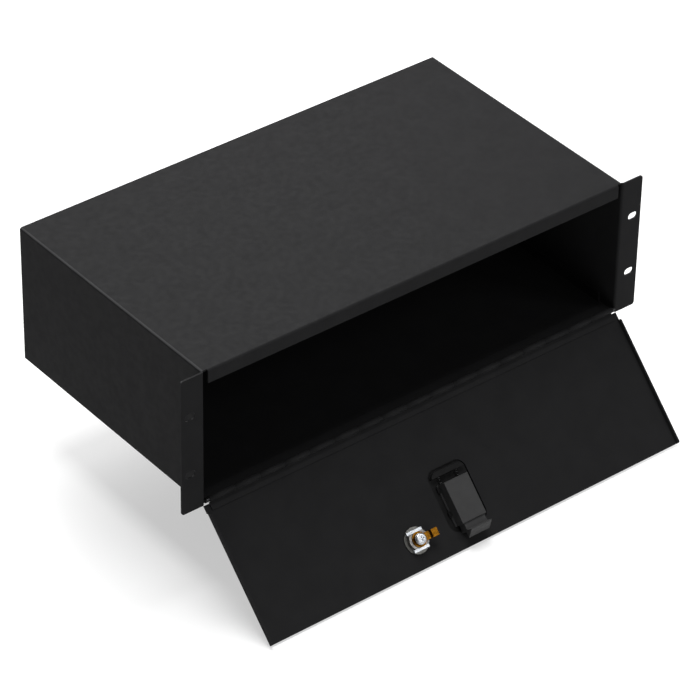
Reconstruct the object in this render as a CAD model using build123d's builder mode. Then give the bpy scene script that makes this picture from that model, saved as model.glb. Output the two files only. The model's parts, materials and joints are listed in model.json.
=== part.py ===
"""Lockable rack box, three rack units high, with a drop-down door, a slide latch and a cam lock.

All sizes are millimetres. The origin is the middle of the four rack slots, on the rear face of
the ears, which is the face that bears on the rack. X points right as seen from the front,
Y points to the back and Z up. The door is drawn hanging open, at its open stop.
"""

import os
from math import cos, radians, sin

from build123d import *

# Rack panel standard
rack_unit = 44.45
rack_units = 3
rack_height_allowance = 0.85
ear_span = 482.6
slot_inset = 8.74
slot_spacing_z = 57.15
slot_length = 10.0
slot_width = 6.8

# Sheet steel of the box and the door
sheet = 1.5
bend_inner = 0.8
ear_corner_radius = 2.5

# Box
ear_width = 21.4
body_depth = 249.25
lip_height = 12.45
lip_end_setback = 5.7
floor_flange = 11.0
back_flange = 10.0
floor_setback = 1.5

# Piano hinge
pin_radius = 1.35
pin_running_clearance = 0.05
hinge_leaf = 1.0
leaf_step = 1.0
hinge_end_setback = 5.1
knuckle_count = 17
knuckle_gap = 0.15
hinge_forward = 0.75
fixed_leaf_width = 15.0
door_leaf_width = 9.0
ramp_start = 1.2
ramp_end = 2.6
pin_end_clearance = 0.3
pin_chamfer = 0.35

# Door
door_open_angle = 135.0
door_root = 3.2
door_top_clearance = 0.3
door_front_clearance = 0.3
door_bend_inner = 0.4
door_flange_start = 10.1
door_flange_end_radius = 2.0

# Slide latch: heights up the door from the hinge axis, rises from the door's inner face
latch_x = -1.8
latch_cut_width = 39.8
latch_cut_bottom = 56.7
latch_cut_top = 112.8
latch_cut_radius = 8.8
latch_block_clearance = 2.4
bezel_overlap = 3.5
bezel_thickness = 2.0
bezel_edge = 0.7
slider_width = 25.0
slider_bottom = 70.3
slider_top = 107.5
slider_rise = 10.1
slider_wall = 1.5
slider_edge = 0.3
slider_gap = 0.15
slider_clearance = 0.25
slider_flange = 1.0
slider_flange_reach = 1.5
guide_wall = 1.2
guide_lip = 0.9
guide_length = 5.0
guide_low = 74.0
guide_high = 96.0
neck_width = 21.8
neck_rise = 8.8
neck_lift = 0.15
hook_ridge_rise = 15.7
hook_ridge_width = 0.6
hook_engagement = 4.95
hook_clearance = 0.35
hook_face_run = 6.2
hook_tip_flat = 0.5
latch_travel = 6.0
spring_radius = 1.5
spring_wire_radius = 0.25
spring_spacing = 18.0
spring_turns = 4
spring_end_wall = 1.0
spring_channel_clearance = 0.2
spring_roof = 0.9
spring_seat_clearance = 0.05

# Cam lock, with its height up the door from the hinge axis
lock_x = -55.8
lock_height = 103.1
barrel_radius = 9.2
barrel_across_flats = 12.6
barrel_rise = 5.0
lock_flange_radius = 11.5
lock_flange_thickness = 2.2
lock_flange_edge = 1.1
plug_radius = 5.0
plug_head_radius = 6.4
plug_head_depth = 1.2
plug_clearance = 0.05
keyway_length = 7.0
keyway_width = 1.6
keyway_depth = 3.0
retainer_radius = 11.6
retainer_thickness = 1.0
clip_arm_width = 2.6
clip_thickness = 2.2
clip_length = 15.6
clip_clearance = 0.05
cam_washer_radius = 6.7
cam_washer_thickness = 0.8
cam_thickness = 1.5
cam_width = 7.0
cam_root_width = 10.4
cam_reach = 17.3
cam_crank_start = 10.4
cam_crank_run = 0.6
cam_crank_rise = 2.2
drive_square = 6.2
drive_clearance = 0.05
screw_washer_radius = 5.0
screw_washer_thickness = 0.6
cam_screw_head_radius = 4.8
cam_screw_head_height = 2.1
cam_screw_dome_radius = 1.4
cam_screw_radius = 2.0
cam_screw_length = 6.0
screw_end_clearance = 0.8
cross_recess_length = 4.4
cross_recess_width = 0.9
cross_recess_depth = 1.0

# Heights and faces of the box
ear_height = rack_units * rack_unit - rack_height_allowance
top_z = ear_height / 2
bottom_z = -ear_height / 2
front_y = -sheet
body_width = ear_span - 2 * ear_width
slot_spacing_x = ear_span - 2 * slot_inset
side_x = body_width / 2
side_inner_x = side_x - sheet
bend_outer = bend_inner + sheet
bend_middle = bend_inner + sheet / 2
floor_top_z = bottom_z + sheet
lip_half = side_x - lip_end_setback

# Hinge axis
knuckle_radius = pin_radius + pin_running_clearance + hinge_leaf
hinge_y = front_y - hinge_forward
hinge_z = floor_top_z + leaf_step + knuckle_radius
hinge_length = body_width - 2 * hinge_end_setback
knuckle_pitch = hinge_length / knuckle_count

# Door frame: x is the box's x, y runs up the door from the hinge axis, z points out of its front
door_up = Vector(0, -cos(radians(door_open_angle - 90)), -sin(radians(door_open_angle - 90)))
door_out = Vector(0, sin(radians(door_open_angle - 90)), -cos(radians(door_open_angle - 90)))
door_plane = Plane(origin=(0, hinge_y, hinge_z), x_dir=(1, 0, 0), z_dir=door_out)
outward = Axis((0, hinge_y, hinge_z), door_out)
door_inner = leaf_step + knuckle_radius
door_outer = door_inner + sheet
door_top = top_z - door_top_clearance - hinge_z
ear_front_in_door = -hinge_forward
flange_edge = ear_front_in_door + door_front_clearance
lip_back_in_door = ear_front_in_door - sheet
lip_bottom_in_door = top_z - lip_height - hinge_z


def door_level(distance):
    """Plane parallel to the door at a distance outward of the hinge axis."""
    return door_plane.offset(distance)


def door_rise(rise):
    """Plane parallel to the door at a height above its inner face, facing out of the front."""
    return door_level(door_inner - rise)


def door_side(x):
    """Plane across the box's x, with its x up the door and its y rising from the inner face."""
    origin = door_plane.from_local_coords((x, 0, door_inner))
    return Plane(origin=origin, x_dir=door_up, z_dir=(-1, 0, 0))


def door_slice(height):
    """Plane across the door at a height up it, with its y rising from the inner face."""
    origin = door_plane.from_local_coords((0, height, door_inner))
    return Plane(origin=origin, x_dir=(1, 0, 0), z_dir=door_up)


def lock_level(rise):
    """Plane on the lock's axis at a height above the door's inner face."""
    origin = door_plane.from_local_coords((lock_x, lock_height, door_inner - rise))
    return Plane(origin=origin, x_dir=(1, 0, 0), z_dir=door_out)


def double_d(radius, across_flats, mode=Mode.ADD):
    """Circle with two flats, in the current sketch."""
    with BuildSketch(Plane.XY, mode=Mode.PRIVATE) as section:
        Circle(radius)
        Rectangle(2 * radius, across_flats, mode=Mode.INTERSECT)
    add(section.sketch, mode=mode)


# Box shell: top, both sides, rack ears and front lip, folded from one sheet
with BuildPart() as chassis_shell:
    with BuildSketch(Plane.XZ.offset(-body_depth)):
        with BuildLine():
            FilletPolyline(
                (-side_x + sheet / 2, bottom_z),
                (-side_x + sheet / 2, top_z - sheet / 2),
                (side_x - sheet / 2, top_z - sheet / 2),
                (side_x - sheet / 2, bottom_z),
                radius=bend_middle,
            )
        trace(line_width=sheet)
    extrude(amount=body_depth - bend_inner)
    for side in (-1, 1):
        with BuildSketch(Plane.XY.offset(bottom_z)):
            with BuildLine():
                FilletPolyline(
                    (side * (side_x - sheet / 2), bend_inner),
                    (side * (side_x - sheet / 2), -sheet / 2),
                    (side * ear_span / 2, -sheet / 2),
                    radius=bend_middle,
                )
            trace(line_width=sheet)
        extrude(amount=ear_height)
    with BuildSketch(Plane.YZ.offset(-lip_half)):
        with BuildLine():
            FilletPolyline(
                (bend_outer, top_z - sheet / 2),
                (front_y + sheet / 2, top_z - sheet / 2),
                (front_y + sheet / 2, top_z - lip_height),
                radius=bend_middle,
            )
        trace(line_width=sheet)
    extrude(amount=2 * lip_half)
    ear_corners = chassis_shell.edges().filter_by(Axis.Y).filter_by(
        lambda edge: abs(abs(edge.center().X) - ear_span / 2) < sheet
    )
    fillet(ear_corners, ear_corner_radius)
    with BuildSketch(Plane.XZ):
        with GridLocations(slot_spacing_x, slot_spacing_z, 2, 2):
            SlotOverall(slot_length, slot_width)
    extrude(amount=sheet, mode=Mode.SUBTRACT)

# Floor, with welded side flanges turned up inside the box
with BuildPart() as floor_panel:
    with BuildSketch(Plane.XZ.offset(-body_depth)):
        with BuildLine():
            FilletPolyline(
                (-side_inner_x + sheet / 2, bottom_z + floor_flange),
                (-side_inner_x + sheet / 2, bottom_z + sheet / 2),
                (side_inner_x - sheet / 2, bottom_z + sheet / 2),
                (side_inner_x - sheet / 2, bottom_z + floor_flange),
                radius=bend_middle,
            )
        trace(line_width=sheet)
    extrude(amount=body_depth - (front_y + floor_setback))
    side_flange_front = fixed_leaf_width + bend_outer
    for side in (-1, 1):
        with BuildSketch(Plane.YZ.offset(side * side_inner_x)):
            with Locations(
                ((side_flange_front + front_y) / 2, floor_top_z + floor_flange),
                (body_depth - (back_flange + bend_outer) / 2, floor_top_z + floor_flange),
            ):
                Rectangle(side_flange_front - front_y, 2 * floor_flange)
        extrude(amount=-side * (sheet + bend_inner), mode=Mode.SUBTRACT)

# Back, a pan with four welded flanges turned forward
with BuildPart() as back_panel:
    back_height = top_z - sheet - floor_top_z
    back_middle_z = (top_z - sheet + floor_top_z) / 2
    with BuildSketch(Plane.XZ.offset(-body_depth)):
        with Locations((0, back_middle_z)):
            RectangleRounded(2 * side_inner_x, back_height, bend_outer)
    extrude(amount=sheet + back_flange)
    fillet(back_panel.faces().sort_by(Axis.Y)[-1].edges(), bend_inner)
    with BuildSketch(Plane.XZ.offset(-body_depth + sheet)):
        with Locations((0, back_middle_z)):
            RectangleRounded(2 * (side_inner_x - sheet), back_height - 2 * sheet, bend_inner)
    extrude(amount=back_flange, mode=Mode.SUBTRACT)


def leaf_flat(width):
    """Flat part of a hinge leaf, drawn with the pin at the origin and the leaf below it."""
    with Locations(((ramp_end + width) / 2, -knuckle_radius - leaf_step + hinge_leaf / 2)):
        Rectangle(width - ramp_end, hinge_leaf)


def knuckle_profile():
    """Curl round the pin and the ramp that joins it to the flat of the leaf."""
    mount = -knuckle_radius - leaf_step
    Circle(knuckle_radius)
    Polygon(
        (0, -knuckle_radius),
        (ramp_start, -knuckle_radius),
        (ramp_end, mount),
        (ramp_end + hinge_leaf, mount),
        (ramp_end + hinge_leaf, mount + hinge_leaf),
        (ramp_end, mount + hinge_leaf),
        (ramp_start, -knuckle_radius + hinge_leaf),
        (0, -knuckle_radius + hinge_leaf),
        align=None,
    )
    Circle(pin_radius + pin_running_clearance, mode=Mode.SUBTRACT)


def hinge_leaf_part(x_dir, z_dir, width, first):
    """One leaf of the piano hinge, with every second knuckle from the given one."""
    run = Vector(*z_dir)
    end = Vector(0, hinge_y, hinge_z) - run * (hinge_length / 2)
    with BuildPart() as leaf:
        with BuildSketch(Plane(origin=end, x_dir=x_dir, z_dir=z_dir)):
            leaf_flat(width)
        extrude(amount=hinge_length)
        for index in range(first, knuckle_count, 2):
            start = end + run * (index * knuckle_pitch + knuckle_gap / 2)
            with BuildSketch(Plane(origin=start, x_dir=x_dir, z_dir=z_dir)):
                knuckle_profile()
            extrude(amount=knuckle_pitch - knuckle_gap)
    return leaf


# Piano hinge: two leaves with interleaved knuckles, and the pin through them
hinge_box_leaf = hinge_leaf_part((0, 1, 0), (1, 0, 0), fixed_leaf_width, 0)
hinge_door_leaf = hinge_leaf_part(door_up, (-1, 0, 0), door_leaf_width, 1)

with BuildPart() as hinge_pin:
    pin_half = side_inner_x - pin_end_clearance
    with BuildSketch(Plane(origin=(-pin_half, hinge_y, hinge_z), z_dir=(1, 0, 0))):
        Circle(pin_radius)
    extrude(amount=2 * pin_half)
    chamfer(hinge_pin.edges(), pin_chamfer)

# Door: a shallow pan with side flanges, cut for the latch and the lock
latch_cut_height = latch_cut_top - latch_cut_bottom
latch_middle = (latch_cut_top + latch_cut_bottom) / 2
with BuildPart() as door_panel:
    with BuildSketch(door_level(door_inner)):
        with Locations((0, (door_root + door_flange_start) / 2)):
            Rectangle(body_width, door_flange_start - door_root)
    extrude(amount=sheet)
    with BuildSketch(door_slice(door_flange_start)):
        with BuildLine():
            FilletPolyline(
                (-side_x + sheet / 2, door_inner - flange_edge),
                (-side_x + sheet / 2, -sheet / 2),
                (side_x - sheet / 2, -sheet / 2),
                (side_x - sheet / 2, door_inner - flange_edge),
                radius=door_bend_inner + sheet / 2,
            )
        trace(line_width=sheet)
    extrude(amount=door_top - door_flange_start)
    flange_ends = door_panel.edges().filter_by(Axis.X).filter_by(
        lambda edge: abs(door_plane.to_local_coords(edge.center()).Z - flange_edge) < sheet / 2
    )
    fillet(flange_ends, door_flange_end_radius)
    with BuildSketch(door_level(door_inner)):
        with Locations((latch_x, latch_middle)):
            RectangleRounded(latch_cut_width, latch_cut_height, latch_cut_radius)
        with Locations((lock_x, lock_height)):
            double_d(barrel_radius + clip_clearance, barrel_across_flats + 2 * clip_clearance)
    extrude(amount=sheet, mode=Mode.SUBTRACT)

# Latch housing: a bezel outside the door, with guides for the slider and a block for the springs
slider_base = slider_gap - sheet
flange_top = slider_base + slider_flange
channel_size = 2 * (spring_radius + spring_channel_clearance)
channel_start = latch_cut_bottom + latch_block_clearance + spring_end_wall
block_rise = channel_size + spring_roof - sheet
block_end = slider_bottom - latch_travel - slider_clearance
window_bottom = slider_bottom + slider_wall
window_top = slider_top - slider_wall
guide_inner = slider_width / 2 + slider_flange_reach + slider_clearance
guide_lip_inner = slider_width / 2 + slider_clearance
guide_lip_rise = flange_top + slider_gap
with BuildPart() as latch_housing:
    with BuildSketch(door_level(door_outer)):
        with Locations((latch_x, latch_middle)):
            RectangleRounded(
                latch_cut_width + 2 * bezel_overlap,
                latch_cut_height + 2 * bezel_overlap,
                latch_cut_radius + bezel_overlap,
            )
    extrude(amount=bezel_thickness)
    chamfer(latch_housing.faces().sort_by(outward)[-1].edges(), bezel_edge)
    with BuildSketch(door_rise(block_rise)):
        with Locations((latch_x, latch_middle)):
            RectangleRounded(
                latch_cut_width - 2 * latch_block_clearance,
                latch_cut_height - 2 * latch_block_clearance,
                latch_cut_radius - latch_block_clearance,
            )
        with Locations((latch_x, block_end + latch_cut_height / 2)):
            Rectangle(latch_cut_width, latch_cut_height, mode=Mode.SUBTRACT)
    extrude(amount=block_rise + sheet)
    with BuildSketch(door_slice(channel_start)):
        with Locations((latch_x, channel_size / 2 - sheet)):
            with GridLocations(spring_spacing, 0, 2, 1):
                Rectangle(channel_size, channel_size)
    extrude(amount=block_end - channel_start, mode=Mode.SUBTRACT)
    with BuildSketch(door_level(door_outer)):
        with Locations((latch_x, (window_bottom + window_top) / 2)):
            RectangleRounded(
                slider_width - 2 * slider_wall,
                window_top - window_bottom,
                slider_wall,
            )
    extrude(amount=bezel_thickness, mode=Mode.SUBTRACT)
    for height in (guide_low, guide_high):
        for side in (-1, 1):
            with BuildSketch(door_slice(height - guide_length / 2)):
                with BuildLine():
                    Polyline(
                        (latch_x + side * guide_inner, -sheet),
                        (latch_x + side * (guide_inner + guide_wall), -sheet),
                        (latch_x + side * (guide_inner + guide_wall), guide_lip_rise + guide_lip),
                        (latch_x + side * guide_lip_inner, guide_lip_rise + guide_lip),
                        (latch_x + side * guide_lip_inner, guide_lip_rise),
                        (latch_x + side * guide_inner, guide_lip_rise),
                        close=True,
                    )
                make_face()
            extrude(amount=guide_length)

# Latch slider: finger pocket, guide flanges, neck and bevelled hook, moulded in one piece
hook_tip = lip_bottom_in_door + hook_engagement
hook_neck_front = lip_bottom_in_door - hook_clearance
catch_rise = door_inner - lip_back_in_door + hook_clearance
hook_ridge = hook_tip - hook_face_run
slider_middle = (slider_bottom + slider_top) / 2
slider_length = slider_top - slider_bottom
with BuildPart() as latch_slider:
    with BuildSketch(door_rise(slider_rise)):
        with Locations((latch_x, slider_middle)):
            Rectangle(slider_width, slider_length)
    extrude(amount=slider_rise - slider_base)
    chamfer(latch_slider.faces().sort_by(outward)[0].edges(), slider_edge)
    with BuildSketch(door_rise(flange_top)):
        with Locations((latch_x, slider_middle)):
            Rectangle(slider_width + 2 * slider_flange_reach, slider_length)
    extrude(amount=slider_flange)
    with BuildSketch(door_rise(slider_rise - slider_wall)):
        with Locations((latch_x, slider_middle)):
            RectangleRounded(
                slider_width - 2 * slider_wall,
                slider_length - 2 * slider_wall,
                slider_wall,
            )
    extrude(amount=slider_rise - slider_wall - slider_base, mode=Mode.SUBTRACT)
    with BuildSketch(door_side(latch_x)):
        with BuildLine():
            Polyline(
                (slider_top - slider_wall, neck_lift),
                (hook_neck_front, neck_lift),
                (hook_neck_front, catch_rise),
                (hook_tip, catch_rise),
                (hook_tip, catch_rise + hook_tip_flat),
                (hook_ridge + hook_ridge_width, hook_ridge_rise),
                (hook_ridge, hook_ridge_rise),
                (hook_ridge - hook_ridge_width, neck_rise),
                (slider_top - slider_wall, neck_rise),
                close=True,
            )
        make_face()
    extrude(amount=neck_width / 2, both=True)


def compression_spring(x):
    """Coil spring between the end of its channel and the end of the slider."""
    start = channel_start + spring_wire_radius + spring_seat_clearance
    length = slider_bottom - start - spring_wire_radius - spring_seat_clearance
    depth = door_outer - channel_size / 2
    with BuildPart() as spring:
        with BuildLine():
            coil = Helix(
                pitch=length / spring_turns,
                height=length,
                radius=spring_radius - spring_wire_radius,
                center=door_plane.from_local_coords((x, start, depth)),
                direction=door_up,
            )
        with BuildSketch(Plane(origin=coil @ 0, z_dir=coil % 0)):
            Circle(spring_wire_radius)
        sweep(path=coil, is_frenet=True)
    return spring


latch_spring_left = compression_spring(latch_x - spring_spacing / 2)
latch_spring_right = compression_spring(latch_x + spring_spacing / 2)

# Lock barrel: round front flange and a threaded body with two flats, bored for the plug
barrel_front = lock_flange_thickness + sheet
with BuildPart() as lock_barrel:
    with BuildSketch(lock_level(-sheet)):
        Circle(lock_flange_radius)
    extrude(amount=lock_flange_thickness)
    fillet(lock_barrel.edges().sort_by(outward)[-1], lock_flange_edge)
    with BuildSketch(lock_level(barrel_rise)):
        double_d(barrel_radius, barrel_across_flats)
    extrude(amount=barrel_rise + sheet)
    with BuildSketch(lock_level(barrel_rise)):
        Circle(plug_radius + plug_clearance)
    extrude(amount=barrel_rise + barrel_front, mode=Mode.SUBTRACT)
    with BuildSketch(lock_level(plug_head_depth - barrel_front)):
        Circle(plug_head_radius + plug_clearance)
    extrude(amount=plug_head_depth, mode=Mode.SUBTRACT)

# Lock plug: head with the keyway, round body, and the square end that drives the cam
cam_rise = barrel_rise + plug_clearance + cam_washer_thickness
drive_rise = cam_rise + cam_thickness
head_back = plug_head_depth - plug_clearance - barrel_front
with BuildPart() as lock_plug:
    with BuildSketch(lock_level(head_back)):
        Circle(plug_head_radius)
    extrude(amount=head_back + barrel_front)
    with BuildSketch(lock_level(barrel_rise + plug_clearance)):
        Circle(plug_radius)
    extrude(amount=barrel_rise + plug_clearance - head_back)
    with BuildSketch(lock_level(drive_rise)):
        Rectangle(drive_square, drive_square)
    extrude(amount=cam_washer_thickness + cam_thickness)
    with BuildSketch(lock_level(drive_rise)):
        Circle(cam_screw_radius)
    extrude(amount=cam_screw_length, mode=Mode.SUBTRACT)
    with BuildSketch(lock_level(keyway_depth - barrel_front)):
        Rectangle(keyway_width, keyway_length)
    extrude(amount=keyway_depth, mode=Mode.SUBTRACT)

# Lock retainer: spring plate behind the door, with two arms that grip the flats
with BuildPart() as lock_retainer:
    with BuildSketch(lock_level(retainer_thickness)):
        Circle(retainer_radius)
        double_d(
            barrel_radius + clip_clearance,
            barrel_across_flats + 2 * clip_clearance,
            Mode.SUBTRACT,
        )
    extrude(amount=retainer_thickness)
    arm_offset = barrel_across_flats / 2 + clip_clearance + clip_arm_width / 2
    with BuildSketch(lock_level(retainer_thickness + clip_thickness)):
        with GridLocations(0, 2 * arm_offset, 1, 2):
            Rectangle(clip_length, clip_arm_width)
    extrude(amount=clip_thickness)

# Cam washer: stops the plug sliding out of the barrel
with BuildPart() as cam_washer:
    with BuildSketch(lock_level(cam_rise)):
        Circle(cam_washer_radius)
        Rectangle(
            drive_square + 2 * drive_clearance,
            drive_square + 2 * drive_clearance,
            mode=Mode.SUBTRACT,
        )
    extrude(amount=cam_washer_thickness)

# Lock cam: flat arm with a cranked tip, drawn unlocked, pointing along the door
crank_end = cam_crank_start + cam_crank_run
lock_section = Plane(origin=lock_level(0).origin, x_dir=(1, 0, 0), z_dir=door_up)
with BuildPart() as lock_cam:
    with BuildSketch(lock_section):
        with BuildLine():
            Polyline(
                (-cam_root_width / 2, cam_rise),
                (cam_crank_start + cam_thickness, cam_rise),
                (crank_end + cam_thickness, cam_rise + cam_crank_rise),
                (cam_reach, cam_rise + cam_crank_rise),
                (cam_reach, drive_rise + cam_crank_rise),
                (crank_end, drive_rise + cam_crank_rise),
                (cam_crank_start, drive_rise),
                (-cam_root_width / 2, drive_rise),
                close=True,
            )
        make_face()
    extrude(amount=cam_root_width, both=True)
    with BuildSketch(lock_level(drive_rise + 2 * cam_crank_rise)):
        Circle(cam_root_width / 2)
        with Locations((cam_reach / 2, 0)):
            Rectangle(cam_reach, cam_width)
    extrude(amount=cam_thickness + 4 * cam_crank_rise, mode=Mode.INTERSECT)
    with BuildSketch(lock_level(drive_rise)):
        Rectangle(drive_square + 2 * drive_clearance, drive_square + 2 * drive_clearance)
    extrude(amount=cam_thickness, mode=Mode.SUBTRACT)

# Screw and washer that hold the cam on the square
with BuildPart() as screw_washer:
    with BuildSketch(lock_level(drive_rise + screw_washer_thickness)):
        Circle(screw_washer_radius)
        Circle(cam_screw_radius, mode=Mode.SUBTRACT)
    extrude(amount=screw_washer_thickness)

head_rise = drive_rise + screw_washer_thickness + cam_screw_head_height
with BuildPart() as cam_screw:
    with BuildSketch(lock_level(head_rise)):
        Circle(cam_screw_head_radius)
    extrude(amount=cam_screw_head_height)
    fillet(cam_screw.faces().sort_by(outward)[0].edges(), cam_screw_dome_radius)
    with BuildSketch(lock_level(head_rise)):
        Rectangle(cross_recess_length, cross_recess_width)
        Rectangle(cross_recess_width, cross_recess_length)
    extrude(amount=cross_recess_depth, mode=Mode.SUBTRACT)
    with BuildSketch(lock_level(drive_rise + screw_washer_thickness)):
        Circle(cam_screw_radius)
    extrude(amount=cam_screw_length - screw_end_clearance)

parts = {
    "chassis_shell": chassis_shell,
    "floor_panel": floor_panel,
    "back_panel": back_panel,
    "hinge_box_leaf": hinge_box_leaf,
    "hinge_door_leaf": hinge_door_leaf,
    "hinge_pin": hinge_pin,
    "door_panel": door_panel,
    "latch_housing": latch_housing,
    "latch_slider": latch_slider,
    "latch_spring_left": latch_spring_left,
    "latch_spring_right": latch_spring_right,
    "lock_barrel": lock_barrel,
    "lock_plug": lock_plug,
    "lock_retainer": lock_retainer,
    "cam_washer": cam_washer,
    "lock_cam": lock_cam,
    "screw_washer": screw_washer,
    "cam_screw": cam_screw,
}
os.makedirs("parts", exist_ok=True)
for name, builder in parts.items():
    builder.part.label = name
    export_step(builder.part, f"parts/{name}.step")
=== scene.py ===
# %% [markdown]
# This file dresses a lockable storage box for a server rack: three rack units high, folded from
# steel sheet, with a front door that drops open on a piano hinge, a slide latch and a cam lock.
# The solids come from CAD and never move here. Each cell takes one piece or one finish, says what
# it is on the real object, and builds it in the CAD's own frame: metres, with X to the right,
# Y into the rack and Z up.

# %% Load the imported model
import json
from math import asin, cos, pi, radians, sin

import bmesh
import bpy
from mathutils import Matrix, Vector

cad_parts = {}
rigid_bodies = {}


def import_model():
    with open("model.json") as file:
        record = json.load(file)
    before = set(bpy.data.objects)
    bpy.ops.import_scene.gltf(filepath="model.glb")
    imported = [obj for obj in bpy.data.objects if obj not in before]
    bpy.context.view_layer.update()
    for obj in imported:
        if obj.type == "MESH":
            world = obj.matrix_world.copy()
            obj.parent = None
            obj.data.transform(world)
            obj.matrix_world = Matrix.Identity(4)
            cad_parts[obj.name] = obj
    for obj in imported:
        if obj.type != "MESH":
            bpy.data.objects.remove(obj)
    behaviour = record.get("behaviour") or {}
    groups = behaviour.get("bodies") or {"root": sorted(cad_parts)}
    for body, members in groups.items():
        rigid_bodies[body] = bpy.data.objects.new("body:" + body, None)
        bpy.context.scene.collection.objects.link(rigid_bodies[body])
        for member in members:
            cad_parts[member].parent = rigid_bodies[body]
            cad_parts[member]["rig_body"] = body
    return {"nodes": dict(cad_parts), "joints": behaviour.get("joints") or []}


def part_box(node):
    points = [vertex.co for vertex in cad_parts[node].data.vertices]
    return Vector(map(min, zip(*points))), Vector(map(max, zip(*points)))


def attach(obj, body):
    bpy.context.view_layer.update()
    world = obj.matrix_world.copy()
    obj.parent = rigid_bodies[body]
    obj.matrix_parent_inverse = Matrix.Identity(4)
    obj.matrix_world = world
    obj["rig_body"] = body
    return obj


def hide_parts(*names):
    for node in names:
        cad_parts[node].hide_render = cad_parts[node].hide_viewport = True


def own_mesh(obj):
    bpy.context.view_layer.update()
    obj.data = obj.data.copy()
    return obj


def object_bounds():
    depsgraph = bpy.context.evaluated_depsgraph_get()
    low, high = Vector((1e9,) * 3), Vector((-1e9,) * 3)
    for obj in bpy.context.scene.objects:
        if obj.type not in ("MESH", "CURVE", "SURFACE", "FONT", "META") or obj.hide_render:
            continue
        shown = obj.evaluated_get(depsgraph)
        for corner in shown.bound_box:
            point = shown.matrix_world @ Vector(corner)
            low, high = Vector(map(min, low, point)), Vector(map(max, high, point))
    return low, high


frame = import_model()
nodes = frame["nodes"]
joints = {joint["name"]: joint for joint in frame["joints"]}
cad_low, cad_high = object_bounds()
mm = 0.001
print("nodes", len(nodes), "size in mm", [round(v / mm, 1) for v in cad_high - cad_low])

# %% [markdown]
# Most of the small pieces sit on the door, which hangs open at a slant. It is easier to place them
# in the door's own axes, which the hinge and the latch's slide already give: the hinge pin is the
# origin, the slide points down the door, and what is square to both points out of its front.

# %% The door's axes
hinge_point = Vector(joints["door_hinge"]["pos_m"])
door_up = -Vector(joints["latch_slide"]["axis"]).normalized()
door_out = Vector((1, 0, 0)).cross(door_up).normalized()


def axes_matrix(origin, x_axis, y_axis, z_axis):
    """Matrix that carries local points to three axes at an origin."""
    turn = Matrix((x_axis, y_axis, z_axis)).transposed().to_4x4()
    return Matrix.Translation(origin) @ turn


door_axes = axes_matrix(hinge_point, Vector((1, 0, 0)), door_up, door_out)
print("door points outward along", [round(v, 3) for v in door_out])

# %% [markdown]
# The camera stands in front of the box, to its left and above it, and looks along a direction that
# was fitted to the ears, whose slots are at standard distances. A long lens keeps the edges almost
# parallel, as they are in the photograph.

# %% Camera
camera_place = Vector((-1.68882, -1.98909, 1.90232))
camera_right = Vector((0.7831552, -0.6216119, 0.0163282))
camera_down = Vector((-0.3574491, -0.4715182, -0.8061642))
camera_ahead = camera_right.cross(camera_down)
sensor_width = 36.0  # millimetres, as Blender keeps it
lens = 202.75
clip_range = (0.1, 50.0)
camera_data = bpy.data.cameras.new("camera")
camera_data.sensor_width = sensor_width
camera_data.lens = lens
camera_data.clip_start, camera_data.clip_end = clip_range
camera = bpy.data.objects.new("camera", camera_data)
camera.matrix_world = axes_matrix(camera_place, camera_right, -camera_down, -camera_ahead)
bpy.context.scene.collection.objects.link(camera)
bpy.context.scene.camera = camera
print("camera looks along", [round(v, 3) for v in camera_ahead])

# %% [markdown]
# The photograph has a plain white ground, as a table lit from below gives. A pale floor lies just
# under the door's lowest edge and glows a little by itself, which keeps it near white and the
# shadow on it light.

# %% Floor
bpy.context.scene.view_settings.view_transform = "Standard"
floor_gap = 1.0 * mm
floor_half = 6.0
floor_grey = 0.5
floor_glow = 0.52
floor_corners = ((-1, -1), (1, -1), (1, 1), (-1, 1))


def make_floor():
    """Large pale ground under the object."""
    mesh = bpy.data.meshes.new("ground")
    height = cad_low.z - floor_gap
    corners = [(x * floor_half, y * floor_half, height) for x, y in floor_corners]
    mesh.from_pydata(corners, [], [(0, 1, 2, 3)])
    ground = bpy.data.objects.new("ground", mesh)
    bpy.context.scene.collection.objects.link(ground)
    paper = bpy.data.materials.new("pale_paper")
    paper.use_nodes = True
    shader = paper.node_tree.nodes["Principled BSDF"]
    shader.inputs["Base Color"].default_value = (floor_grey, floor_grey, floor_grey, 1)
    shader.inputs["Roughness"].default_value = 0.9
    shader.inputs["Specular IOR Level"].default_value = 0.1
    shader.inputs["Emission Color"].default_value = (1, 1, 1, 1)
    shader.inputs["Emission Strength"].default_value = floor_glow
    mesh.materials.append(paper)
    print("floor at", round(height, 4))


make_floor()

# %% [markdown]
# The light is soft and even. One large box above gives the top and the door their tone, one behind
# brightens the top, one ahead opens up the door and the inside, and a small one puts a glint on
# the lock. A dim even sky fills the rest without washing out black paint.

# %% Sky and lights
sky_strength = 0.15
studio_lights = (  # name, place and size in metres, watts
    ("light_above", (0.0, 0.4, 2.8), 1.8, 97),
    ("light_behind", (1.15, 2.1, 1.9), 1.6, 76),
    ("light_ahead", (0.3, -3.0, 1.05), 1.6, 20),
    ("light_glint", (1.25, -1.45, 1.5), 0.5, 6),
)


def make_sky(strength):
    """Even sky light."""
    world = bpy.data.worlds.new("sky")
    world.use_nodes = True
    background = world.node_tree.nodes["Background"]
    background.inputs["Color"].default_value = (1, 1, 1, 1)
    background.inputs["Strength"].default_value = strength
    bpy.context.scene.world = world


def soft_box(name, place, size, watts):
    """Square studio light that looks at the middle of the box."""
    data = bpy.data.lights.new(name, "AREA")
    data.shape = "SQUARE"
    data.size = size
    data.energy = watts
    light = bpy.data.objects.new(name, data)
    light.location = place
    target = (cad_low + cad_high) / 2
    light.rotation_euler = (target - Vector(place)).to_track_quat("-Z", "Y").to_euler()
    bpy.context.scene.collection.objects.link(light)


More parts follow.
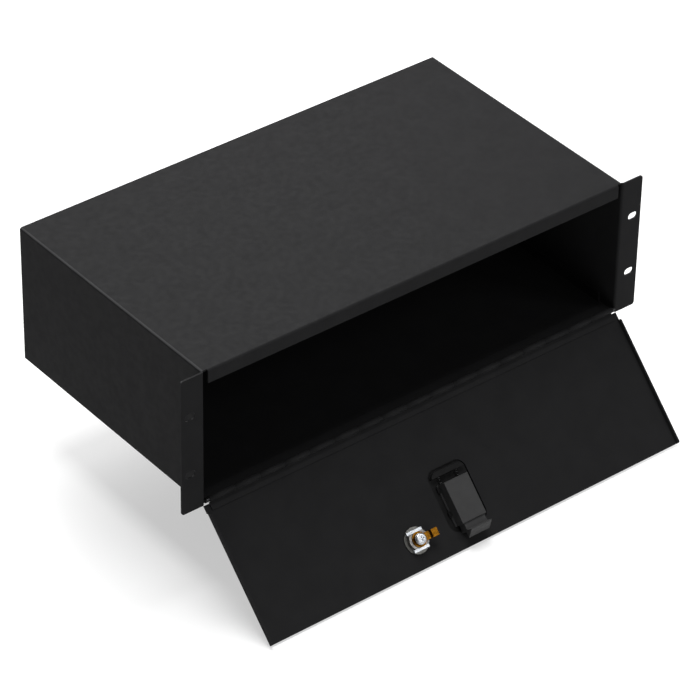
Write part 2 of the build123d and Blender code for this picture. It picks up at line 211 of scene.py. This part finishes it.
make_sky(sky_strength)
for name, place, size, watts in studio_lights:
    soft_box(name, place, size, watts)
print("lights", [row[0] for row in studio_lights])

# %% [markdown]
# Every finish is a small node tree round one Principled shader. The helpers below add a node with
# its settings in one line, and make the patterns that all the finishes share: a slow drift of
# colour, a slow drift of roughness and a fine bump. They read Object coordinates, which are metres
# here.

# %% Helpers for materials


def add_node(tree, kind, inputs=None, **settings):
    """New node with its settings and input values."""
    made = tree.nodes.new(kind)
    for name, value in settings.items():
        setattr(made, name, value)
    for name, value in (inputs or {}).items():
        made.inputs[name].default_value = value
    return made


def start_material(name, color, roughness, metallic=0.0):
    """Material with its shader and the noise coordinates ready."""
    material = bpy.data.materials.new(name)
    material.use_nodes = True
    tree = material.node_tree
    shader = tree.nodes["Principled BSDF"]
    shader.inputs["Base Color"].default_value = (*color, 1)
    shader.inputs["Roughness"].default_value = roughness
    shader.inputs["Metallic"].default_value = metallic
    place = add_node(tree, "ShaderNodeTexCoord").outputs["Object"]
    return material, tree, shader, place


def noise(tree, place, grain, detail=2.0):
    """Noise whose lumps are about one grain across, in metres."""
    texture = add_node(
        tree, "ShaderNodeTexNoise", {"Scale": 1 / grain, "Detail": detail, "Roughness": 0.5}
    )
    tree.links.new(place, texture.inputs["Vector"])
    return texture.outputs["Fac"]


noise_low = 0.35  # most of a noise lies between these two
noise_high = 0.65


def spread(tree, value, low, high):
    """Noise stretched to run from a low to a high value."""
    limits = {"From Min": noise_low, "From Max": noise_high, "To Min": low, "To Max": high}
    mapped = add_node(tree, "ShaderNodeMapRange", limits)
    tree.links.new(value, mapped.inputs["Value"])
    return mapped.outputs["Result"]


def color_drift(tree, value, low, high):
    """Colour that drifts between two near shades."""
    ramp = add_node(tree, "ShaderNodeValToRGB")
    ramp.color_ramp.elements[0].position = noise_low
    ramp.color_ramp.elements[0].color = (*low, 1)
    ramp.color_ramp.elements[1].position = noise_high
    ramp.color_ramp.elements[1].color = (*high, 1)
    tree.links.new(value, ramp.inputs["Fac"])
    return ramp.outputs["Color"]


def bump(tree, shader, height, depth):
    """Relief of a real depth, in metres."""
    relief = add_node(tree, "ShaderNodeBump", {"Strength": 1.0, "Distance": depth})
    tree.links.new(height, relief.inputs["Height"])
    tree.links.new(relief.outputs["Normal"], shader.inputs["Normal"])


def grey(tone, blue=0.0):
    """Neutral colour, with a little more blue where it is asked for."""
    return (tone, tone, tone + blue)


# %% [markdown]
# The box and the door are powder coated black. Such a coat is melted on as a dry powder, so it
# keeps a fine orange peel: low lumps under a millimetre wide, with a satin sheen that varies a
# little. The edges are painted paler, partly for the coat running thin over cut edges and sharp
# folds and partly as a painted highlight. A rounded normal that turns away from the true one finds
# those edges without any painting by hand.

# %% Thin coat and painted highlight at the edges
edge_reach = 0.5 * mm
# The paler edge tone is partly a thinner coat and partly a painted highlight.
edge_coat_and_highlight_tone = (0.045, 0.045, 0.047)
edge_share = 0.35
flat_turn = 0.99  # cosine between the two normals on flat sheet
edge_turn = 0.8  # and at an edge


def thin_coat_and_highlight_at_edges(tree, tone):
    """The coat's colour, mixed at the edges with a paler one that stands for a thinner coat and a
    painted highlight.
    """
    rounded = add_node(tree, "ShaderNodeBevel", {"Radius": edge_reach}, samples=6)
    surface = add_node(tree, "ShaderNodeNewGeometry")
    turned = add_node(tree, "ShaderNodeVectorMath", operation="DOT_PRODUCT")
    tree.links.new(rounded.outputs["Normal"], turned.inputs[0])
    tree.links.new(surface.outputs["Normal"], turned.inputs[1])
    limits = {"From Min": flat_turn, "From Max": edge_turn, "To Min": 0.0, "To Max": edge_share}
    share = add_node(tree, "ShaderNodeMapRange", limits)
    tree.links.new(turned.outputs["Value"], share.inputs["Value"])
    mixed = add_node(tree, "ShaderNodeMix", data_type="RGBA")
    tree.links.new(share.outputs["Result"], mixed.inputs["Factor"])
    tree.links.new(tone, mixed.inputs["A"])
    mixed.inputs["B"].default_value = (*edge_coat_and_highlight_tone, 1)
    return mixed.outputs["Result"]


# %% Black powder coat
paint_gloss = 0.013
tone_grain = 22 * mm
sheen_grain = 6 * mm
peel_grain = 0.9 * mm


def powder_coat(name, dark, light, roughness, peel):
    """Satin black paint with orange peel, and paler edges for a thinner coat and a painted
    highlight.
    """
    material, tree, shader, place = start_material(name, dark, roughness)
    shader.inputs["Specular IOR Level"].default_value = paint_gloss
    tone = color_drift(tree, noise(tree, place, tone_grain, detail=3.0), dark, light)
    tree.links.new(thin_coat_and_highlight_at_edges(tree, tone), shader.inputs["Base Color"])
    sheen = spread(tree, noise(tree, place, sheen_grain), roughness - 0.05, roughness + 0.06)
    tree.links.new(sheen, shader.inputs["Roughness"])
    bump(tree, shader, noise(tree, place, peel_grain, detail=3.0), peel)
    return material


box_paint = powder_coat(
    "satin_powder_coat", grey(0.0140, 0.0005), grey(0.0155, 0.0005), 0.46, 0.02 * mm
)
# Paler coat for the upper half of the side folds: a painted highlight.
fold_highlight_paint = powder_coat(
    "painted_fold_highlight_coat", grey(0.040, 0.001), grey(0.046, 0.001), 0.42, 0.015 * mm
)
hinge_paint = powder_coat(
    "hinge_powder_coat", grey(0.0145, 0.0005), grey(0.0160, 0.0005), 0.42, 0.012 * mm
)
print("paints", box_paint.name, fold_highlight_paint.name, hinge_paint.name)

# %% [markdown]
# The latch is moulded nylon. Its mould is spark eroded, which leaves a tiny even grain. The
# slider's top looks paler than the paint and the housing is darker than the paint. The slider's
# flanks carry a painted shade between the two, and the housing's trough a painted shade of its
# own, so one recipe makes four shades.

# %% Moulded plastic
mould_gloss = 0.05
mould_tone_grain = 9 * mm
mould_sheen_grain = 3 * mm
spark_grain = 0.35 * mm
spark_depth = 0.012 * mm


def moulded_plastic(name, dark, light):
    """Satin nylon with mould grain."""
    material, tree, shader, place = start_material(name, dark, 0.5)
    shader.inputs["Specular IOR Level"].default_value = mould_gloss
    tone = color_drift(tree, noise(tree, place, mould_tone_grain), dark, light)
    tree.links.new(tone, shader.inputs["Base Color"])
    sheen = spread(tree, noise(tree, place, mould_sheen_grain), 0.42, 0.54)
    tree.links.new(sheen, shader.inputs["Roughness"])
    grain = add_node(tree, "ShaderNodeTexVoronoi", {"Scale": 1 / spark_grain, "Randomness": 1.0})
    tree.links.new(place, grain.inputs["Vector"])
    bump(tree, shader, grain.outputs["Distance"], spark_depth)
    return material


slider_plastic = moulded_plastic("slider_plastic", grey(0.040, 0.0005), grey(0.044, 0.0005))
# The slider's flanks and flanges: a darker copy of its plastic as painted shade.
shaded_flank_plastic = moulded_plastic("shaded_flank_plastic", grey(0.027, 0.0005), grey(0.031, 0.0005))
housing_plastic = moulded_plastic("housing_plastic", grey(0.0085, 0.0003), grey(0.011, 0.0003))
# Painted shade for the housing's trough.
trough_shade_plastic = moulded_plastic("trough_shade_plastic", grey(0.0084, 0.0002), grey(0.0104, 0.0002))
print("pale plastics", slider_plastic.name, shaded_flank_plastic.name)
print("dark plastics", housing_plastic.name, trough_shade_plastic.name)

# %% [markdown]
# The lock brings the only bright metal: a nickel-plated barrel and plug, a yellow-passivated cam
# and washer, and zinc-plated small parts. Plated metal is mostly reflection, so the interest is in
# its roughness: fine rolling or turning lines, and a passivation film that drifts in hue.

# %% Plated metals
film_grain = 4 * mm
line_width = 0.25 * mm
line_depth = 0.004 * mm
line_stretch = (0.06, 1.0, 1.0)  # the lines run along X


def plated_metal(name, low, high, roughness):
    """Metal with a drifting tint and fine lines."""
    material, tree, shader, place = start_material(name, low, roughness, metallic=1.0)
    tint = color_drift(tree, noise(tree, place, film_grain, detail=4.0), low, high)
    tree.links.new(tint, shader.inputs["Base Color"])
    lines = add_node(tree, "ShaderNodeMapping", {"Scale": line_stretch})
    tree.links.new(place, lines.inputs["Vector"])
    streaks = noise(tree, lines.outputs["Vector"], line_width, detail=3.0)
    polish = spread(tree, streaks, roughness - 0.07, roughness + 0.1)
    tree.links.new(polish, shader.inputs["Roughness"])
    bump(tree, shader, streaks, line_depth)
    return material


nickel = plated_metal("nickel_plate", (0.14, 0.135, 0.13), (0.24, 0.23, 0.22), 0.34)
bright_zinc = plated_metal("bright_zinc", (0.50, 0.53, 0.56), (0.62, 0.64, 0.67), 0.36)
yellow_zinc = plated_metal("yellow_passivate", (0.09, 0.038, 0.003), (0.19, 0.08, 0.006), 0.28)
spring_wire = plated_metal("spring_wire", (0.06, 0.06, 0.062), (0.1, 0.1, 0.102), 0.3)
# The hinge pin's steel is darkened as painted shade for the inside of the knuckles.
shaded_pin_steel = plated_metal("shaded_pin_steel", (0.03, 0.03, 0.031), (0.05, 0.05, 0.052), 0.4)
# The retainer's disc: a dull zinc as painted shade beside its bright arms.
shaded_disc_zinc = plated_metal("shaded_disc_zinc", (0.15, 0.15, 0.142), (0.22, 0.217, 0.205), 0.5)
print("bright metals", nickel.name, bright_zinc.name, yellow_zinc.name)
print("dull metals", spring_wire.name, shaded_pin_steel.name, shaded_disc_zinc.name)

# %% [markdown]
# A CAD solid has edges with no radius at all, and nothing real has. Each rigid piece is therefore
# copied, its loose triangles are merged into whole faces, and a Bevel modifier rounds the edges by
# a fraction of a millimetre, so that they catch the light as folded, cut or moulded edges do. The
# copy stands for the CAD node, which stays for collision.

# %% Pieces with rounded edges
weld_distance = 0.001 * mm
flat_angle = radians(0.2)
round_angle = radians(32)
sheet_edge = 0.18 * mm
metal_edge = 0.15 * mm
moulded_edge = 0.35 * mm


def merged_mesh(node):
    """The node's triangles as whole faces."""
    work = bmesh.new()
    work.from_mesh(nodes[node].data)
    bmesh.ops.remove_doubles(work, verts=work.verts, dist=weld_distance)
    bmesh.ops.dissolve_limit(
        work, angle_limit=flat_angle, verts=work.verts, edges=work.edges, delimit=set()
    )
    mesh = bpy.data.meshes.new(node + "_finished")
    mesh.from_pydata(
        [v.co[:] for v in work.verts], [], [[v.index for v in f.verts] for f in work.faces]
    )
    work.free()
    mesh.shade_smooth()
    return mesh


def place_piece(piece, body, material):
    """Finish, body and slot of a piece."""
    piece.data.materials.clear()
    piece.data.materials.append(material)
    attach(piece, body)


def softened(node, material, edge):
    """Copy of a CAD node with rounded edges, standing for it."""
    piece = bpy.data.objects.new(node + "_finished", merged_mesh(node))
    bpy.context.scene.collection.objects.link(piece)
    place_piece(piece, nodes[node]["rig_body"], material)
    rounding = piece.modifiers.new("edges", "BEVEL")
    rounding.width = edge
    rounding.segments = 2
    rounding.limit_method = "ANGLE"
    rounding.angle_limit = round_angle
    rounding.use_clamp_overlap = True
    rounding.harden_normals = True
    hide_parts(node)
    return piece


first_finishes = {
    "chassis_shell": (box_paint, sheet_edge),
    "floor_panel": (box_paint, sheet_edge),
    "back_panel": (box_paint, sheet_edge),
    "door_panel": (box_paint, sheet_edge),
    "hinge_pin": (shaded_pin_steel, metal_edge),
    "lock_barrel": (nickel, metal_edge),
    "lock_plug": (nickel, metal_edge),
    "cam_washer": (yellow_zinc, metal_edge),
    "lock_cam": (yellow_zinc, metal_edge),
    "screw_washer": (bright_zinc, metal_edge),
    "cam_screw": (bright_zinc, metal_edge),
    "latch_housing": (housing_plastic, moulded_edge),
    "latch_slider": (slider_plastic, moulded_edge),
    "lock_retainer": (shaded_disc_zinc, metal_edge),
}
rounded = {node: softened(node, *finish) for node, finish in first_finishes.items()}
print("rounded", len(rounded))

# %% [markdown]
# Four pieces carry two finishes each. The upper half of the shell's side folds has a paler coat as
# a painted highlight. The slider's flanks and flanges carry a painted shade, darker than its top,
# and the housing's trough has a painted shade of its own. The lock's retainer is a dull disc, a
# painted shade, whose two raised arms are bright zinc as a painted highlight. The second material
# goes on the faces that a small test picks, by where they lie on the door or by where they point.

# %% Helpers for a second finish


def up_and_out(face):
    """How far up the door and out of it the middle of a face lies."""
    offset = face.center - hinge_point
    return offset.dot(door_up), offset.dot(door_out)


def repaint(piece, material, chosen):
    """Give a second finish to the faces that a test picks."""
    piece.data.materials.append(material)
    picked = [face for face in piece.data.polygons if chosen(face)]
    for face in picked:
        face.material_index = 1
    print(piece.name, "faces repainted", len(picked))


# %% Folds, flanks, trough and arms
fold_rise = 0.6  # how much a face of the fold points up, at least
fold_tilt = 0.14  # and to the side
flank_tilt = 0.9
flange_start = 12.6 * mm
trough_start = 64.2 * mm
trough_back = 5.4 * mm
arm_level = 2.3 * mm
latch_middle = sum(corner.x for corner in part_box("latch_slider")) / 2


def on_lit_side_fold(face):
    """Whether a face of the shell is in the upper half of a side fold, which gets a painted
    highlight.
    """
    return face.normal.z > fold_rise and abs(face.normal.x) > fold_tilt


def on_shaded_flank(face):
    """Whether a face of the slider is on its flanges or points to a side, where it gets a painted
    shade.
    """
    off_centre = abs(face.center.x - latch_middle)
    return off_centre > flange_start or abs(face.normal.x) > flank_tilt


def in_shaded_trough(face):
    """Whether a face of the housing lies in its trough, which gets a painted shade."""
    up, out = up_and_out(face)
    return up > trough_start and out < trough_back


def on_highlit_arm(face):
    """Whether a face of the retainer is on its arms, which get bright zinc as a painted highlight.
    """
    return up_and_out(face)[1] < arm_level


# Painted highlight on the upward half of the shell's side folds.
repaint(rounded["chassis_shell"], fold_highlight_paint, on_lit_side_fold)
repaint(rounded["latch_slider"], shaded_flank_plastic, on_shaded_flank)
repaint(rounded["latch_housing"], trough_shade_plastic, in_shaded_trough)
# Bright arms on the retainer: a painted highlight.
repaint(rounded["lock_retainer"], bright_zinc, on_highlit_arm)

# %% [markdown]
# What repeats is made with Geometry Nodes. These helpers start a tree with named inputs, sweep a
# profile, place a row of instances, and close every tree in the same way: the instances are made
# real and get their material.

# %% Helpers for Geometry Nodes


def start_tree(name, inputs):
    """Geometry tree with named inputs, as (name, socket type) pairs."""
    tree = bpy.data.node_groups.new(name, "GeometryNodeTree")
    tree.interface.new_socket("Geometry", in_out="INPUT", socket_type="NodeSocketGeometry")
    for label, kind in inputs:
        tree.interface.new_socket(label, in_out="INPUT", socket_type=kind)
    tree.interface.new_socket("Geometry", in_out="OUTPUT", socket_type="NodeSocketGeometry")
    given = tree.nodes.new("NodeGroupInput")
    return tree, given


def row_of(tree, shape, count, first, step):
    """Instances of a shape on a straight row of points."""
    line = add_node(tree, "GeometryNodeMeshLine", mode="OFFSET")
    tree.links.new(count, line.inputs["Count"])
    tree.links.new(first, line.inputs["Start Location"])
    tree.links.new(step, line.inputs["Offset"])
    placed = add_node(tree, "GeometryNodeInstanceOnPoints")
    tree.links.new(line.outputs["Mesh"], placed.inputs["Points"])
    tree.links.new(shape, placed.inputs["Instance"])
    return placed.outputs["Instances"]


def close_tree(tree, given, shape):
    """Realize the instances, set the material and end the tree."""
    real = add_node(tree, "GeometryNodeRealizeInstances")
    painted = add_node(tree, "GeometryNodeSetMaterial")
    end = tree.nodes.new("NodeGroupOutput")
    tree.links.new(shape, real.inputs["Geometry"])
    tree.links.new(real.outputs["Geometry"], painted.inputs["Geometry"])
    tree.links.new(given.outputs["Material"], painted.inputs["Material"])
    tree.links.new(painted.outputs["Geometry"], end.inputs["Geometry"])
    return tree


def swept(tree, path, profile):
    """Profile swept along a path, with closed ends."""
    sweep = add_node(tree, "GeometryNodeCurveToMesh", {"Fill Caps": True})
    tree.links.new(path, sweep.inputs["Curve"])
    tree.links.new(profile, sweep.inputs["Profile Curve"])
    return sweep.outputs["Mesh"]


# %% [markdown]
# A tree is used once for each piece. The modifier gets the piece's own values, its result is kept
# as a plain mesh, and the faces are turned outwards.

# %% Growing a piece from a tree


def grow(name, tree, values, matrix, base=None):
    """Plain mesh object that a tree makes from its values, moved to its place."""
    piece = bpy.data.objects.new(name, base or bpy.data.meshes.new(name))
    bpy.context.scene.collection.objects.link(piece)
    modifier = piece.modifiers.new(name, "NODES")
    modifier.node_group = tree
    sockets = {s.name: s.identifier for s in tree.interface.items_tree if s.in_out == "INPUT"}
    for label, value in values.items():
        modifier[sockets[label]] = value
    graph = bpy.context.evaluated_depsgraph_get()
    mesh = bpy.data.meshes.new_from_object(piece.evaluated_get(graph))
    piece.modifiers.clear()
    mesh.transform(matrix)
    piece.data = mesh
    work = bmesh.new()
    work.from_mesh(mesh)
    bmesh.ops.recalc_face_normals(work, faces=work.faces)
    work.to_mesh(mesh)
    work.free()
    print(name, "faces", len(mesh.polygons))
    return piece


# %% [markdown]
# The piano hinge runs the full width. Each knuckle is a tongue of the leaf rolled round the pin,
# so it shows a seam and a step where it comes off the leaf. One tongue is drawn as a path in
# profile, swept with the sheet's section, and repeated along the pin: nine tongues on the box's
# leaf and eight on the door's, in each other's gaps.

# %% Sizes of the piano hinge
leaf_sheet = 1.0 * mm
curl_radius = 1.9 * mm
curl_sweep = radians(292)
leaf_level = -2.9 * mm
ramp_start = 1.2 * mm
ramp_end = 2.6 * mm
flat_start = 2.2 * mm
knuckle_count = 17
knuckle_gap = 0.15 * mm
leaf_low, leaf_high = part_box("hinge_box_leaf")
hinge_length = leaf_high.x - leaf_low.x
knuckle_pitch = hinge_length / knuckle_count
box_leaf_width = leaf_high.y - hinge_point.y
door_leaf_width = 9.0 * mm
print("knuckle pitch in mm", round(knuckle_pitch / mm, 2))

# %% One rolled tongue
curl_steps = 40


def tongue_path():
    """Edges from the leaf's flat up the ramp and round the pin, with the pin at the origin."""
    turn = [-pi / 2 - curl_sweep * i / curl_steps for i in range(curl_steps + 1)]
    points = [(ramp_end, leaf_level), (ramp_start, -curl_radius)]
    points += [(curl_radius * cos(a), curl_radius * sin(a)) for a in turn]
    mesh = bpy.data.meshes.new("tongue_path")
    mesh.from_pydata(
        [(x, y, 0) for x, y in points], [(i, i + 1) for i in range(len(points) - 1)], []
    )
    return mesh


# %% Tree for one leaf of the hinge


def hinge_leaf_tree():
    """Row of rolled tongues and the flat that carries them."""
    tree, given = start_tree(
        "rolled_hinge_leaf",
        [
            ("Sheet", "NodeSocketFloat"),
            ("Tongue Length", "NodeSocketFloat"),
            ("Tongues", "NodeSocketInt"),
            ("First Tongue", "NodeSocketVector"),
            ("Tongue Step", "NodeSocketVector"),
            ("Flat Size", "NodeSocketVector"),
            ("Flat Place", "NodeSocketVector"),
            ("Material", "NodeSocketMaterial"),
        ],
    )
    path = add_node(tree, "GeometryNodeMeshToCurve")
    upright = add_node(tree, "GeometryNodeSetCurveNormal", mode="Z_UP")
    section = add_node(tree, "GeometryNodeCurvePrimitiveQuadrilateral")
    tree.links.new(given.outputs["Geometry"], path.inputs["Mesh"])
    tree.links.new(path.outputs["Curve"], upright.inputs["Curve"])
    tree.links.new(given.outputs["Sheet"], section.inputs["Width"])
    tree.links.new(given.outputs["Tongue Length"], section.inputs["Height"])
    tongue = swept(tree, upright.outputs["Curve"], section.outputs["Curve"])
    row = row_of(
        tree, tongue, given.outputs["Tongues"], given.outputs["First Tongue"],
        given.outputs["Tongue Step"],
    )
    flat = add_node(tree, "GeometryNodeMeshCube")
    moved = add_node(tree, "GeometryNodeTransform")
    joined = add_node(tree, "GeometryNodeJoinGeometry")
    tree.links.new(given.outputs["Flat Size"], flat.inputs["Size"])
    tree.links.new(flat.outputs["Mesh"], moved.inputs["Geometry"])
    tree.links.new(given.outputs["Flat Place"], moved.inputs["Translation"])
    tree.links.new(row, joined.inputs["Geometry"])
    tree.links.new(moved.outputs["Geometry"], joined.inputs["Geometry"])
    return close_tree(tree, given, joined.outputs["Geometry"])


leaf_tree = hinge_leaf_tree()
print("leaf tree nodes", len(leaf_tree.nodes))

# %% The two leaves of the hinge


def make_hinge_leaf(name, node, along, run, width, first):
    """One leaf, with its flat along one axis, its pin along another, and its first tongue."""
    start = -hinge_length / 2 + (first + 0.5) * knuckle_pitch
    values = {
        "Sheet": leaf_sheet,
        "Tongue Length": knuckle_pitch - knuckle_gap,
        "Tongues": (knuckle_count + 1 - first) // 2,
        "First Tongue": (0, 0, start),
        "Tongue Step": (0, 0, 2 * knuckle_pitch),
        "Flat Size": (width - flat_start, leaf_sheet, hinge_length),
        "Flat Place": ((width + flat_start) / 2, leaf_level, 0),
        "Material": hinge_paint,
    }
    matrix = axes_matrix(hinge_point, along, run.cross(along), run)
    piece = grow(name, leaf_tree, values, matrix, tongue_path())
    place_piece(piece, nodes[node]["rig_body"], hinge_paint)
    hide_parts(node)


to_right = Vector((1, 0, 0))
to_back = Vector((0, 1, 0))
make_hinge_leaf("hinge_leaf_on_box", "hinge_box_leaf", to_back, to_right, box_leaf_width, 0)
make_hinge_leaf("hinge_leaf_on_door", "hinge_door_leaf", door_up, -to_right, door_leaf_width, 1)

# %% [markdown]
# Two small coil springs push the slider home. A coil is a spiral curve with a round wire swept
# along it, which the tree repeats for the second spring. The wire is drawn at its working length.

# %% Tree for the latch springs
coil_steps = 28
wire_sides = 12


def spring_tree():
    """Row of coil springs."""
    tree, given = start_tree(
        "latch_spring_coils",
        [
            ("Turns", "NodeSocketFloat"),
            ("Length", "NodeSocketFloat"),
            ("Coil Radius", "NodeSocketFloat"),
            ("Wire Radius", "NodeSocketFloat"),
            ("Springs", "NodeSocketInt"),
            ("First Spring", "NodeSocketVector"),
            ("Spring Step", "NodeSocketVector"),
            ("Material", "NodeSocketMaterial"),
        ],
    )
    coil = add_node(tree, "GeometryNodeCurveSpiral", {"Resolution": coil_steps})
    wire = add_node(tree, "GeometryNodeCurvePrimitiveCircle", {"Resolution": wire_sides})
    tree.links.new(given.outputs["Turns"], coil.inputs["Rotations"])
    tree.links.new(given.outputs["Coil Radius"], coil.inputs["Start Radius"])
    tree.links.new(given.outputs["Coil Radius"], coil.inputs["End Radius"])
    tree.links.new(given.outputs["Length"], coil.inputs["Height"])
    tree.links.new(given.outputs["Wire Radius"], wire.inputs["Radius"])
    shape = swept(tree, coil.outputs["Curve"], wire.outputs["Curve"])
    row = row_of(
        tree, shape, given.outputs["Springs"], given.outputs["First Spring"],
        given.outputs["Spring Step"],
    )
    return close_tree(tree, given, row)


# %% Latch springs
spring_low, spring_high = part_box("latch_spring_left")
spring_wire_radius = 0.25 * mm
spring_radius = 1.5 * mm
spring_turns = 4.0


def door_reach(node):
    """Lowest and highest place of a node up the door."""
    heights = [(v.co - hinge_point).dot(door_up) for v in nodes[node].data.vertices]
    return min(heights), max(heights)


spring_start, spring_end = door_reach("latch_spring_left")
spring_length = spring_end - spring_start - 2 * spring_wire_radius
spring_middle = (spring_low + spring_high) / 2
spring_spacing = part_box("latch_spring_right")[0].x - spring_low.x
spring_depth = (spring_middle - hinge_point).dot(door_out)
springs = grow(
    "latch_springs",
    spring_tree(),
    {
        "Turns": spring_turns,
        "Length": spring_length,
        "Coil Radius": spring_radius - spring_wire_radius,
        "Wire Radius": spring_wire_radius,
        "Springs": 2,
        "First Spring": (0, 0, 0),
        "Spring Step": (spring_spacing, 0, 0),
        "Material": spring_wire,
    },
    axes_matrix(
        door_axes @ Vector((spring_middle.x, spring_start + spring_wire_radius, spring_depth)),
        Vector((1, 0, 0)), -door_out, door_up,
    ),
)
springs.data.shade_smooth()
place_piece(springs, "door", spring_wire)
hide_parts("latch_spring_left", "latch_spring_right")
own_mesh(springs)

# %% [markdown]
# The lock's barrel is threaded for a nut, and two flats cut the thread away at its sides, so what
# is left of each turn is a short arc on either side. A tree sweeps one arc with a triangular
# section and repeats it along the barrel, once for each side.

# %% Tree for the thread
arc_steps = 32
ridge_sides = 4


def thread_tree():
    """Arcs of thread on the two round sides of the barrel."""
    tree, given = start_tree(
        "barrel_thread_arcs",
        [
            ("Radius", "NodeSocketFloat"),
            ("Start Angle", "NodeSocketFloat"),
            ("Sweep Angle", "NodeSocketFloat"),
            ("Crest", "NodeSocketFloat"),
            ("Turns", "NodeSocketInt"),
            ("First Turn", "NodeSocketVector"),
            ("Pitch", "NodeSocketVector"),
            ("Material", "NodeSocketMaterial"),
        ],
    )
    arc = add_node(tree, "GeometryNodeCurveArc", {"Resolution": arc_steps}, mode="RADIUS")
    ridge = add_node(tree, "GeometryNodeCurvePrimitiveCircle", {"Resolution": ridge_sides})
    tree.links.new(given.outputs["Radius"], arc.inputs["Radius"])
    tree.links.new(given.outputs["Start Angle"], arc.inputs["Start Angle"])
    tree.links.new(given.outputs["Sweep Angle"], arc.inputs["Sweep Angle"])
    tree.links.new(given.outputs["Crest"], ridge.inputs["Radius"])
    shape = swept(tree, arc.outputs["Curve"], ridge.outputs["Curve"])
    row = row_of(
        tree, shape, given.outputs["Turns"], given.outputs["First Turn"], given.outputs["Pitch"]
    )
    return close_tree(tree, given, row)


# %% Barrel thread
lock_point = Vector(joints["lock_turn"]["pos_m"])
barrel_radius = 9.2 * mm
barrel_flats = 12.6 * mm
thread_pitch = 0.8 * mm
thread_depth = 0.3 * mm
thread_turns = 4
arc_share = 0.95  # how much of the round side the thread takes
retainer_top = 1.0 * mm
thread_arcs = thread_tree()


def make_thread(name, side):
    """Thread arcs on one round side of the barrel."""
    half_angle = arc_share * asin(barrel_flats / 2 / barrel_radius)
    piece = grow(
        name,
        thread_arcs,
        {
            "Radius": barrel_radius - thread_depth,
            "Start Angle": side - half_angle,
            "Sweep Angle": 2 * half_angle,
            "Crest": thread_depth,
            "Turns": thread_turns,
            "First Turn": (0, 0, -retainer_top - thread_pitch),
            "Pitch": (0, 0, -thread_pitch),
            "Material": nickel,
        },
        axes_matrix(lock_point, Vector((1, 0, 0)), door_up, door_out),
    )
    place_piece(piece, "door", nickel)


make_thread("barrel_thread_left", pi)
make_thread("barrel_thread_right", 0.0)
